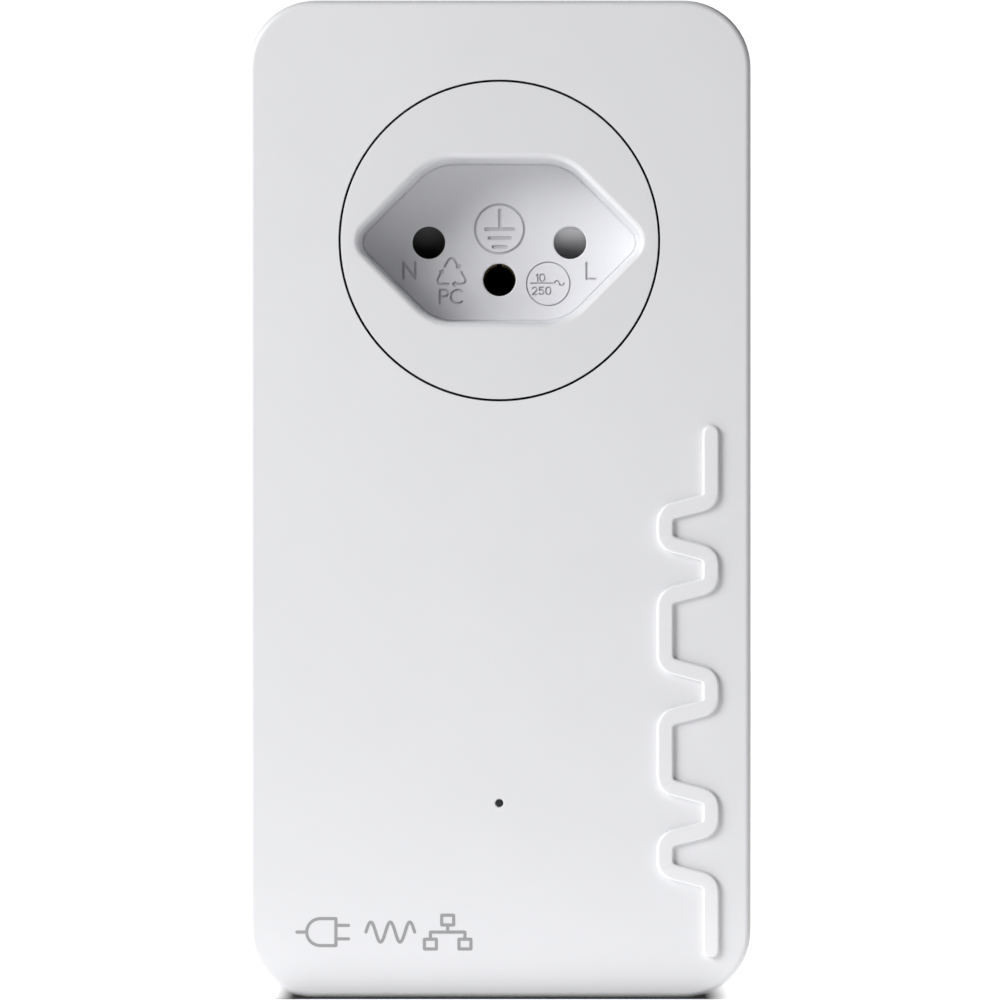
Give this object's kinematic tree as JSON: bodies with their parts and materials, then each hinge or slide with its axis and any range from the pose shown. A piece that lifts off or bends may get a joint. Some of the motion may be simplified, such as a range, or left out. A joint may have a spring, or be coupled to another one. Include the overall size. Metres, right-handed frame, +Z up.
{
  "type": "powerline adapter",
  "caption": "Plug-in powerline network adapter with a recessed three-pin pass-through socket on the front, a status light, a pairing button and an Ethernet port.",
  "frame": {"origin": "midway between the plug's line and neutral pins, in the plane of the rear face that meets the wall", "axes": "+Z up along the body, +Y from the front out through the plug's pins into the wall, -Y out of the front face, +X to the right seen from the front"},
  "size_m": [0.0674, 0.0712, 0.133],
  "materials": {
    "front_shell": "satin white",
    "rear_shell": "satin white",
    "socket_white": "satin white",
    "button_white": "satin white",
    "shutter_grey": "light grey, semi-matt",
    "carrier_grey": "dark grey, moulded",
    "black_plastic": "black, moulded",
    "sleeve_black": "black, smooth",
    "switch_grey": "dark grey, moulded",
    "screw_steel": "zinc plated",
    "spring_steel": "bright drawn wire",
    "pin_metal": "nickel-plated brass",
    "contact_brass": "bright rolled strip",
    "jack_shield": "tin-plated sheet",
    "gold_contacts": "gold plated",
    "heat_sink_alu": "extruded, matt",
    "board_green": "green solder mask",
    "label_grey": "silver-grey film",
    "live_insulation": "brown",
    "neutral_insulation": "blue",
    "earth_insulation": "green and yellow",
    "insulating_sheet": "pale fibre sheet",
    "ferrite": "sintered ferrite",
    "powder_core": "coated powder core",
    "copper_wire": "enamelled copper",
    "winding_tape": "yellow tape over a black bobbin",
    "capacitor_box": "yellow box, resin filled",
    "disc_blue": "blue dipped coating",
    "can_sleeve": "dark shrink sleeve",
    "optocoupler_white": "white, moulded",
    "header_black": "black with gilt pins",
    "ceramic_tan": "ceramic chips",
    "pad_blue": "soft thermal pad",
    "light_white": "white package with a clear window",
    "clear_guide": "clear moulded"
  },
  "bodies": {
    "casing": {"front_cover": "front_shell", "rear_housing": "rear_shell", "port_panel": "rear_shell", "housing_screws": "screw_steel", "rating_label": "label_grey", "socket_insert": "socket_white", "contact_carrier": "carrier_grey", "inner_screws": "screw_steel", "line_contact": "contact_brass", "neutral_contact": "contact_brass", "earth_contact": "contact_brass", "contact_clamp_rings": "spring_steel", "plug_insert": "socket_white", "line_pin": "pin_metal", "neutral_pin": "pin_metal", "earth_pin": "pin_metal", "line_pin_sleeve": "sleeve_black", "neutral_pin_sleeve": "sleeve_black", "line_in_wire": "live_insulation", "neutral_in_wire": "neutral_insulation", "line_out_wire": "live_insulation", "neutral_out_wire": "neutral_insulation", "earth_wire": "earth_insulation", "main_board": "board_green", "comm_board": "board_green", "insulation_sheet": "insulating_sheet", "board_spacers": "contact_brass", "filter_cores": "powder_core", "filter_windings": "copper_wire", "mains_choke_core": "ferrite", "mains_choke_windings": "copper_wire", "suppression_capacitor": "capacitor_box", "safety_capacitors": "disc_blue", "bulk_capacitor": "can_sleeve", "output_capacitors": "can_sleeve", "fuse": "black_plastic", "varistor": "disc_blue", "supply_chips": "black_plastic", "optocoupler": "optocoupler_white", "power_transformer_core": "ferrite", "power_transformer_winding": "winding_tape", "coupling_transformer": "black_plastic", "board_header": "header_black", "line_processor": "black_plastic", "thermal_pad": "pad_blue", "heat_sink": "heat_sink_alu", "comm_chips": "black_plastic", "chip_capacitors": "ceramic_tan", "ethernet_magnetics": "black_plastic", "ethernet_jack_shell": "jack_shield", "ethernet_jack_body": "black_plastic", "ethernet_contacts": "gold_contacts", "status_light": "light_white", "light_guide": "clear_guide", "reset_guide": "rear_shell", "button_switches": "switch_grey"},
    "shutter": {"shutter_slider": "shutter_grey", "shutter_spring": "spring_steel"},
    "pairing_key": {"pairing_button": "button_white"},
    "reset_key": {"reset_button": "black_plastic"}
  },
  "joints": [
    {"name": "shutter_slide", "type": "slide", "parent": "casing", "child": "shutter", "axis": [0, 0, 1], "range_m": [0, 0.0048], "stiffness_N_per_m": 150, "deforming": ["shutter_spring"]},
    {"name": "pairing_press", "type": "slide", "parent": "casing", "child": "pairing_key", "axis": [-1, 0, 0], "range_m": [0, 0.0005], "stiffness_N_per_m": 2000},
    {"name": "reset_press", "type": "slide", "parent": "casing", "child": "reset_key", "axis": [0, 0, 1], "range_m": [0, 0.00025], "stiffness_N_per_m": 1000}
  ]
}
